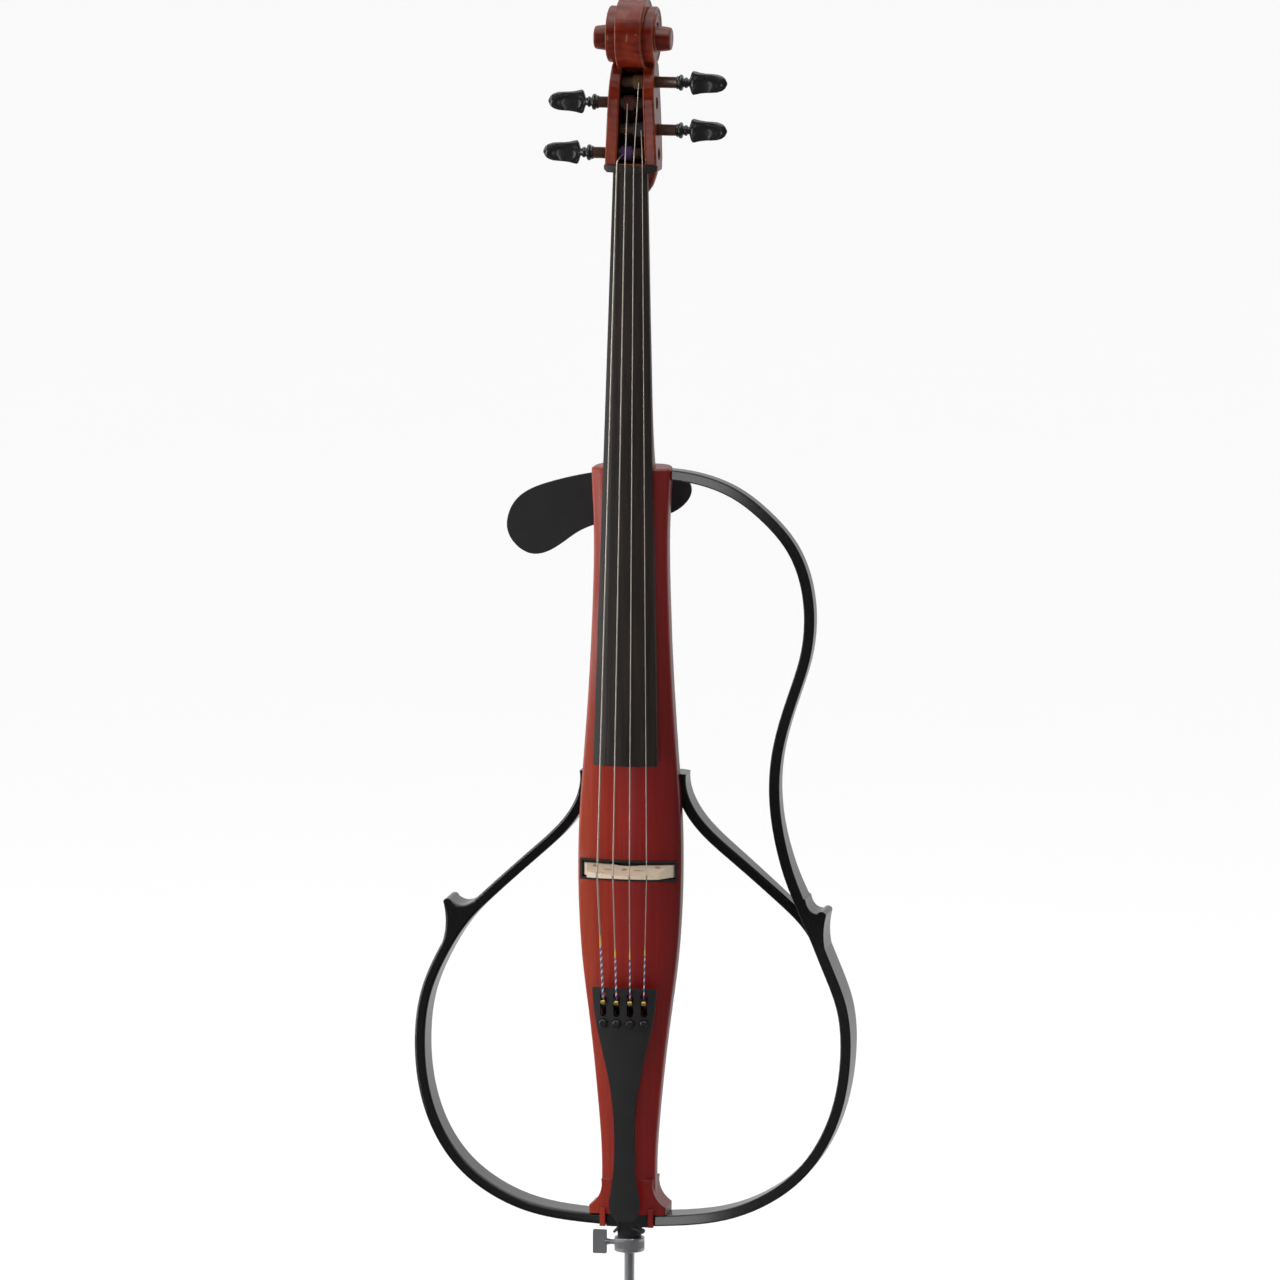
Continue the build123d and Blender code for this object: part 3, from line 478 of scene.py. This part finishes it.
def dress_nodes():
    """Give each carried-over CAD node the material of its slot."""
    for entry in frame["record"]["subparts"]:
        node = NODES[entry["node"]]
        for index in range(len(node.material_slots)):
            node.material_slots[index].material = MATERIALS[entry["material_slot"]]
        if not node.material_slots:
            node.data.materials.append(MATERIALS[entry["material_slot"]])


SHAFT = shaft_brown()
CAVITY = cavity_dark_brown()
SCROLL_VARNISH = amber_varnish("scroll_varnish", True)
WRAP_YELLOW = thread("silk_yellow", (0.62, 0.42, 0.08))
WRAP_STRIPES = {name: striped_silk(name) for name in STRINGS}


# ---------------------------------------------------------------- mesh helpers
def spot(x, y, height):
    """Point in metres from millimetres, with the height above the endpin collar's lower face."""
    return Vector((x * MM, y * MM, COLLAR_Z + height * MM))


def make_object(name, bm, material):
    """New object from a bmesh, which is freed."""
    bmesh.ops.recalc_face_normals(bm, faces=bm.faces)
    mesh = bpy.data.meshes.new(name)
    bm.to_mesh(mesh)
    bm.free()
    mesh.polygons.foreach_set("use_smooth", [True] * len(mesh.polygons))
    mesh.materials.append(material)
    thing = bpy.data.objects.new(name, mesh)
    SCENE.collection.objects.link(thing)
    return thing


def loft(bm, rings):
    """Skin through equal rings of points, capped at both ends."""
    made = [[bm.verts.new(point) for point in ring] for ring in rings]
    count = len(made[0])
    for first, second in zip(made, made[1:]):
        for index in range(count):
            after = (index + 1) % count
            bm.faces.new((first[index], first[after], second[after], second[index]))
    bm.faces.new(made[0][::-1])
    bm.faces.new(made[-1])


def lathe(bm, profile, height, y, count=40):
    """Turned solid along X: profile is a list of (x, radius) in millimetres."""
    rings = []
    for x, radius in profile:
        turns = [2 * math.pi * step / count for step in range(count)]
        rings.append([spot(x, y + radius * math.cos(a), height + radius * math.sin(a)) for a in turns])
    loft(bm, rings)


def tube(bm, points, radius, count=10):
    """Round tube along a list of points, with the frame carried along without twist."""
    rings = []
    side = None
    for index, point in enumerate(points):
        before = points[max(index - 1, 0)]
        after = points[min(index + 1, len(points) - 1)]
        along = (after - before).normalized()
        if side is None:
            side = along.orthogonal().normalized()
        side = (side - along * side.dot(along)).normalized()
        other = along.cross(side)
        rings.append([
            point + (side * math.cos(a) + other * math.sin(a)) * radius
            for a in (2 * math.pi * step / count for step in range(count))
        ])
    loft(bm, rings)


def between(table, where):
    """Value from a table of (place, value) with straight steps between its rows."""
    if where <= table[0][0]:
        return table[0][1]
    for (low, first), (high, second) in zip(table, table[1:]):
        if where <= high:
            part = (where - low) / (high - low)
            return first + (second - first) * part
    return table[-1][1]


def settle(thing):
    """Put the result of the object's modifiers into its mesh."""
    bpy.context.view_layer.update()
    graph = bpy.context.evaluated_depsgraph_get()
    mesh = bpy.data.meshes.new_from_object(thing.evaluated_get(graph))
    thing.modifiers.clear()
    thing.data = mesh
    mesh.polygons.foreach_set("use_smooth", [True] * len(mesh.polygons))


def carve(thing, cutter):
    """Cut one object out of another and drop the cutter."""
    cut = thing.modifiers.new("cut", "BOOLEAN")
    cut.operation = "DIFFERENCE"
    cut.solver = "EXACT"
    cut.object = cutter
    settle(thing)
    bpy.data.objects.remove(cutter)


def fuse(thing, voxel, rounds):
    """One smooth skin round overlapping solids."""
    remesh = thing.modifiers.new("skin", "REMESH")
    remesh.mode = "VOXEL"
    remesh.voxel_size = voxel
    smooth = thing.modifiers.new("smooth", "SMOOTH")
    smooth.factor = 0.5
    smooth.iterations = rounds
    settle(thing)


# ---------------------------------------------------------------- pegbox and scroll
GRAFT = (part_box("pegbox_scroll")[0].z - COLLAR_Z) / MM
NUT_LOW = (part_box("nut")[0].z - COLLAR_Z) / MM
NUT_HIGH = (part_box("nut")[1].z - COLLAR_Z) / MM
HEAD_TOP = (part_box("pegbox_scroll")[1].z - COLLAR_Z) / MM
EYE_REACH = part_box("pegbox_scroll")[1].x / MM
PEG_Y = 2.0
PEG_HEIGHTS = {name: (middle(f"winding_{name}").z - COLLAR_Z) / MM for name in STRINGS}
PEG_SIDES = {"c": -1, "g": -1, "d": 1, "a": 1}
VOLUTE = (0.0, HEAD_TOP - 36.3)


def cheek_section(height):
    """Pegbox cross-section: two cheeks round a cavity, and a back with two flutes."""
    half = between([(NUT_LOW, 25.6), (1090, 25.8), (1151, 23), (1183, 21.3), (1194, 18)], height)
    front = between(
        [
            (NUT_HIGH, -9.9), (NUT_HIGH + 0.01, -14.2), (1151, -15.2), (1162, -13.6), (1172, -9.6),
            (1184, -1.5), (1194, 8),
        ],
        height,
    )
    back = between(
        [(NUT_LOW, 23.4), (1105, 26.6), (1130, 28), (1165, 27.4), (1183, 25.5), (1194, 21)], height,
    )
    inner = between([(NUT_HIGH, 14), (1181, 10.5)], height)
    floor = front
    if NUT_HIGH + 1 < height < 1182:
        floor = between([(NUT_HIGH + 1.5, 11), (1100, 15), (1168, 15), (1181.5, 8)], height)
    outline = [(-half, front + 1), (-half, 6), (-half, back - 6), (-half + 1.6, back - 1.8)]
    for step in range(-8, 9):
        across = step / 9
        flute = 2.0 * math.sin(math.pi * abs(across) / 0.95) ** 2
        outline.append((across * (half - 1), back - flute))
    outline += [(half - 1.6, back - 1.8), (half, back - 6), (half, 6), (half, front + 1), (half - 1, front)]
    outline += [(inner + 1, front), (inner, front + 1 if floor > front + 1 else front), (inner, floor)]
    outline += [(-inner, floor), (-inner, front + 1 if floor > front + 1 else front), (-inner - 1, front)]
    outline.append((-half + 1, front))
    return [spot(x, y, height) for x, y in outline]


def graft_section(height):
    """Neck's D section where it runs up behind the nut."""
    half = between([(GRAFT, 16.8), (NUT_LOW + 2, 16.6)], height)
    back = between([(GRAFT, 10), (1062, 10.6), (NUT_LOW + 2, 12)], height)
    front = -9.8
    points = [(half, front)]
    for step in range(1, 16):
        angle = math.pi * step / 16
        points.append((half * math.cos(angle), front + (back - front) * math.sin(angle) ** 0.8))
    points.append((-half, front))
    return [spot(x, y, height) for x, y in points]


def chin_section(height):
    """Rounded heel below the pegbox, behind the nut."""
    half = between([(1053, 9), (1057, 14), (1064, 18.6), (1074, 21.6), (1084, 24)], height)
    back = between([(1053, 11), (1057, 14.6), (1064, 19.4), (1074, 22.6), (1084, 24.4)], height)
    ring = []
    for step in range(24):
        angle = 2 * math.pi * step / 24
        swell_x = abs(math.cos(angle)) ** 0.6 * math.copysign(1, math.cos(angle))
        swell_y = abs(math.sin(angle)) ** 0.6 * math.copysign(1, math.sin(angle))
        ring.append((half * swell_x, (back + 2) / 2 + (back - 2) / 2 * swell_y))
    return [spot(x, y, height) for x, y in ring]


TURN_RADIUS = [
    (-62, 50), (-40, 44), (-20, 39.4), (0, 38), (27, 37.6), (61, 37), (96, 36.2), (133, 36.6), (172, 35.4),
    (210, 34.5), (243, 33.4), (270, 32.6), (320, 31), (360, 29.6), (450, 28.4), (540, 28), (630, 27.2),
    (720, 24), (810, 21.2), (900, 18.8), (990, 16.6), (1080, 14.8), (1150, 13.4),
]
TURN_WIDTH = [
    (-62, 17.5), (-40, 16.4), (-20, 15.2), (20, 13.9), (96, 13.9), (180, 13.2), (230, 13.6),
    (262, 15), (300, 19), (340, 22.4), (390, 23.6), (600, 23.8), (720, 24.2), (900, 24.6), (1150, 24.8),
]


def volute_section(turn):
    """Section of the scroll's ribbon: two flutes outside, a hollowed face at each side."""
    radius = between(TURN_RADIUS, turn)
    half = between(TURN_WIDTH, turn)
    gap = radius - between(TURN_RADIUS, turn + 360)
    inner = 20 if turn < 20 else max(gap + 3, 6)
    depth = between(
        [(-62, 1.7), (60, 1.9), (110, 1.6), (250, 1.3), (330, 1.0), (420, 0.8), (900, 0.5)], turn,
    )
    spine = between([(-62, 1), (70, 1), (120, 0.15), (1150, 0.15)], turn)
    outline = []
    for step in range(-9, 10):
        across = step / 9
        pair = math.sin(math.pi * abs(across)) ** 2
        trough = math.cos(0.5 * math.pi * across) ** 2
        flute = depth * (spine * pair + (1 - spine) * trough)
        outline.append((across * (half - 1.1), radius - flute))
    hollow = between([(-62, 0.2), (0, 0.8), (200, 1.4), (600, 1.5), (1150, 1.0)], turn)
    side = [
        (half, radius - 1.1), (half - 0.5 * hollow, radius - 2.4),
        (half - hollow, radius - 4.2), (half - hollow, radius - inner),
    ]
    outline += side + [(-x, r) for x, r in side[::-1]]
    angle = math.radians(turn)
    centre_y, centre_h = VOLUTE
    return [spot(x, centre_y + r * math.cos(angle), centre_h + r * math.sin(angle)) for x, r in outline]


def make_scroll():
    bm = bmesh.new()
    heights = [NUT_LOW, NUT_HIGH - 0.2, NUT_HIGH + 0.02, NUT_HIGH + 1, NUT_HIGH + 1.5]
    heights += [1092 + 5.9 * step for step in range(15)] + [1178, 1181.4, 1182.2, 1186, 1190, 1194]
    loft(bm, [cheek_section(height) for height in heights])
    box = make_object("pegbox", bm, SCROLL_VARNISH)
    bm = bmesh.new()
    for name in STRINGS:
        lathe(bm, [(-40, 6.0), (40, 6.0)], PEG_HEIGHTS[name], PEG_Y)
    carve(box, make_object("holes", bm, SCROLL_VARNISH))
    bm = bmesh.new()
    bm.from_mesh(box.data)
    bpy.data.objects.remove(box)
    loft(bm, [graft_section(GRAFT + (NUT_LOW + 2 - GRAFT) * step / 6) for step in range(7)])
    loft(bm, [chin_section(1053 + 31 * step / 12) for step in range(13)])
    loft(bm, [volute_section(turn) for turn in range(-62, 1151, 6)])
    for side in (-1, 1):
        profile = [
            (0, 12.9), (23, 12.9), (26, 12.7), (31, 12.2), (EYE_REACH - 2.2, 11.5), (EYE_REACH - 0.7, 10.9),
            (EYE_REACH - 0.1, 9.4), (EYE_REACH, 6), (EYE_REACH - 0.25, 0.6),
        ]
        lathe(bm, [(side * x, radius) for x, radius in profile], VOLUTE[1] - 3, -1, 48)
    head = make_object("scroll_head", bm, SCROLL_VARNISH)
    fuse(head, 0.55 * MM, 2)
    head.data.materials.append(CAVITY)
    for face in head.data.polygons:
        x, y = face.center.x / MM, face.center.y / MM
        height = (face.center.z - COLLAR_Z) / MM
        if abs(x) < 14.4 and -12.5 < y < 16 and NUT_HIGH + 0.6 < height < 1181 - 0.5 * max(0, y):
            inner = between([(NUT_HIGH, 14), (1181, 10.5)], height)
            face.material_index = int(abs(x) < inner + 0.4)
    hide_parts("pegbox_scroll")
    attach(head, "root")


# ---------------------------------------------------------------- pegs
def peg_head_section(part, side, height, shoulder, reach):
    """Section across a peg's head, thumb hollows included; part runs from 0 at the neck to 1."""
    tall = between([
        (0, 3.0), (0.025, 6.0), (0.06, 10.2), (0.1, 11.8), (0.15, 11.6), (0.3, 10.2), (0.45, 9.5),
        (0.6, 9.3), (0.75, 8.8), (0.87, 7.3), (0.95, 4.9), (1, 1.2),
    ], part)
    thick = between([(0, 3.4), (0.12, 4.5), (0.3, 4.9), (0.7, 4.6), (0.9, 3.6), (1, 1.0)], part)
    points = []
    for step in range(48):
        angle = 2 * math.pi * step / 48
        rise = math.sin(angle)
        out = math.cos(angle)
        up = tall * math.copysign(abs(rise) ** 0.85, rise)
        across = thick * math.copysign(abs(out) ** 0.62, out)
        # a D-shaped hollow with a raised rim on each face
        span = (part - 0.5) / 0.42
        drop = (up + 1.4) / (0.86 * tall + 0.2)
        ring = math.sqrt(span * span + drop * drop)
        dish = max(0.0, 1 - ring ** 3) * 2.6 - 0.8 * math.exp(-((ring - 1.05) / 0.10) ** 2)
        across -= math.copysign(min(dish, 0.8 * abs(across)), out) * (abs(out) > 0.25)
        points.append(spot(side * (shoulder + part * (reach - shoulder)), PEG_Y + across, height + up))
    return points


def make_peg(name):
    side = PEG_SIDES[name]
    low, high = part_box(f"peg_{name}")
    reach = max(-low.x, high.x) / MM
    inward = -side * (low.x if side > 0 else high.x) / MM
    height = PEG_HEIGHTS[name]
    start = reach - 37.5
    bm = bmesh.new()
    lathe(bm, [
        (side * x, radius) for x, radius in [
            (-inward, 4.6), (-inward + 0.8, 5.5), (reach - 50.5, 5.58), (reach - 50, 6.3),
            (reach - 49.2, 6.7), (reach - 48.4, 6.3), (reach - 48, 5.9), (reach - 47.4, 7.4),
            (reach - 46.4, 8.0), (reach - 45, 8.0), (reach - 44.2, 7.1), (reach - 43.4, 4.6),
            (reach - 42.6, 4.2), (reach - 41.8, 5.0), (reach - 40.7, 5.5),
            (reach - 39.6, 5.0), (reach - 38.8, 3.9), (reach - 37, 3.6), (reach - 36, 3.4),
        ]
    ], height, PEG_Y, 48)
    steps = 44
    loft(bm, [
        peg_head_section(0.5 - 0.5 * math.cos(math.pi * step / steps), side, height, start, reach)
        for step in range(steps + 1)
    ])
    peg = make_object(f"peg_turned_{name}", bm, MATERIALS["peg_black"])
    peg.data.materials.append(SHAFT)
    for face in peg.data.polygons:
        if abs(face.center.x) / MM < reach - 51:
            face.material_index = 1
    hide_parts(f"peg_{name}")
    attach(peg, f"peg_{name}")


# ---------------------------------------------------------------- string ends
WINDING_THREADS = {
    "c": (0.15, 0.06, 0.25), "g": (0.12, 0.03, 0.02), "d": (0.17, 0.08, 0.025), "a": (0.05, 0.05, 0.055),
}


def make_winding(name):
    """Silk-covered end of a string, wound turn by turn on its peg."""
    low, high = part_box(f"winding_{name}")
    radius = (high.z - low.z) / 2
    centre = middle(f"winding_{name}")
    thread_radius = 0.42 * MM
    pitch = 0.95 * MM
    turns = (high.x - low.x - 2 * thread_radius) / pitch
    steps = int(turns * 26)
    points = []
    for step in range(steps + 1):
        angle = 2 * math.pi * turns * step / steps
        wobble = 0.12 * MM * math.sin(angle * 0.37 + 1.1)
        reach = radius - thread_radius - 0.1 * MM + 0.1 * MM * math.sin(angle * 0.21)
        points.append(Vector((
            low.x + thread_radius + pitch * turns * step / steps + wobble,
            centre.y + reach * math.cos(angle),
            centre.z + reach * math.sin(angle),
        )))
    bm = bmesh.new()
    tube(bm, points, thread_radius, 8)
    coil = make_object(f"wound_{name}", bm, thread(f"winding_silk_{name}", WINDING_THREADS[name]))
    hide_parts(f"winding_{name}")
    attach(coil, f"peg_{name}")


STRING_RADII = {"c": 0.8, "g": 0.65, "d": 0.5, "a": 0.4}
STRING_PLACES = {"c": -1.5, "g": -0.5, "d": 0.5, "a": 1.5}
BRIDGE_SPACING = 16.5
BRIDGE_HEIGHT = 385
WRAP_FOOT = 261
WRAP_TOPS = {"c": (324, 313), "g": (310, 302), "d": (310, 301), "a": (312, 305)}


def string_point(name, height):
    """Middle of a string between its ball end and the bridge, at a height."""
    low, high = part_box(f"string_{name}")
    radius = STRING_RADII[name] * MM
    ball = middle(f"ball_end_{name}")
    start = Vector((ball.x, ball.y - 0.25 * MM, ball.z + 3 * MM))
    bridge_x = STRING_PLACES[name] * BRIDGE_SPACING * MM
    bridge = Vector((bridge_x, low.y + radius, COLLAR_Z + BRIDGE_HEIGHT * MM))
    along = (COLLAR_Z + height * MM - start.z) / (bridge.z - start.z)
    return start.lerp(bridge, along)


def make_wraps(name):
    """Silk lapping of a string's lower end: a short yellow band, then a striped length."""
    top, change = WRAP_TOPS[name]
    core = STRING_RADII[name]
    for label, low, high, material in (
        ("band", change, top, WRAP_YELLOW), ("lapping", WRAP_FOOT, change, WRAP_STRIPES[name]),
    ):
        steps = 60 if label == "lapping" else 14
        bm = bmesh.new()
        rings = []
        for step in range(steps + 1):
            part = step / steps
            centre = string_point(name, low + (high - low) * part)
            swell = core + 0.22 + 0.03 * math.sin(step * 1.9)
            if label == "band":
                swell = core + 0.2 - 0.14 * part
            rings.append([
                centre + Vector((math.cos(a), math.sin(a), 0)) * swell * MM
                for a in (2 * math.pi * turn / 14 for turn in range(14))
            ])
        loft(bm, rings)
        wrap = make_object(f"{label}_{name}", bm, material)
        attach(wrap, "root")


# ---------------------------------------------------------------- chest pad
CLOTH_FRAMES = 20
FARTHEST_MOVE = 5 * MM


def make_chest_pad():
    """Stuffed pad: crowned cover puffed out by cloth pressure, and closed round the knob's recess."""
    low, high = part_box("chest_pad")
    source = NODES["chest_pad"]
    bm = bmesh.new()
    bm.from_mesh(source.data)
    bmesh.ops.remove_doubles(bm, verts=bm.verts, dist=1e-6)
    pad = make_object("chest_cushion", bm, MATERIALS["pad_cushion"])
    inset = 1.6 * MM
    centre = middle("chest_pad")
    half = (high - low) / 2
    for vertex in pad.data.vertices:
        for axis in range(3):
            share = (vertex.co[axis] - centre[axis]) / half[axis]
            vertex.co[axis] -= share * inset
    remesh = pad.modifiers.new("skin", "REMESH")
    remesh.mode = "VOXEL"
    remesh.voxel_size = 2.5 * MM
    settle(pad)
    before = [vertex.co.copy() for vertex in pad.data.vertices]
    cloth = pad.modifiers.new("cloth", "CLOTH")
    cloth.settings.quality = 6
    cloth.settings.use_pressure = True
    cloth.settings.uniform_pressure_force = 4
    cloth.settings.effector_weights.gravity = 0
    for number in range(1, CLOTH_FRAMES + 1):
        SCENE.frame_set(number)
    settle(pad)
    SCENE.frame_set(1)
    for vertex, place in zip(pad.data.vertices, before):
        step = vertex.co - place
        if step.length > FARTHEST_MOVE:
            vertex.co = place + step.normalized() * FARTHEST_MOVE
    for vertex in pad.data.vertices:
        for axis in range(3):
            vertex.co[axis] = min(max(vertex.co[axis], low[axis] + 0.1 * MM), high[axis] - 0.1 * MM)
    smooth = pad.modifiers.new("smooth", "SMOOTH")
    smooth.iterations = 3
    finer = pad.modifiers.new("finer", "SUBSURF")
    finer.levels = 1
    finer.render_levels = 1
    settle(pad)
    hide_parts("chest_pad")
    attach(pad, "pad")


def make_floor():
    """Plain pale floor under the endpin, wide enough to fill the view."""
    mesh = bpy.data.meshes.new("floor")
    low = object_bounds()[0][2]
    half = 150.0
    corners = [(-half, -half, low), (half, -half, low), (half, half, low), (-half, half, low)]
    mesh.from_pydata(corners, [], [(0, 1, 2, 3)])
    floor = bpy.data.objects.new("floor", mesh)
    SCENE.collection.objects.link(floor)
    s = Shader("floor_paint", (0.96, 0.96, 0.96), 0.9, specular=0.1)
    speckle = s.noise(s.place((1, 1, 1)), 6, 3, 0.5)
    s.colour(s.mix(s.span(speckle, 0.0, 0.2), (0.97, 0.97, 0.97), (0.94, 0.94, 0.94)))
    floor.data.materials.append(s.material)
    floor.visible_glossy = False


place_camera()
place_lights()
dress_nodes()
make_scroll()
for string_name in STRINGS:
    make_peg(string_name)
    make_winding(string_name)
    make_wraps(string_name)
make_chest_pad()
make_floor()
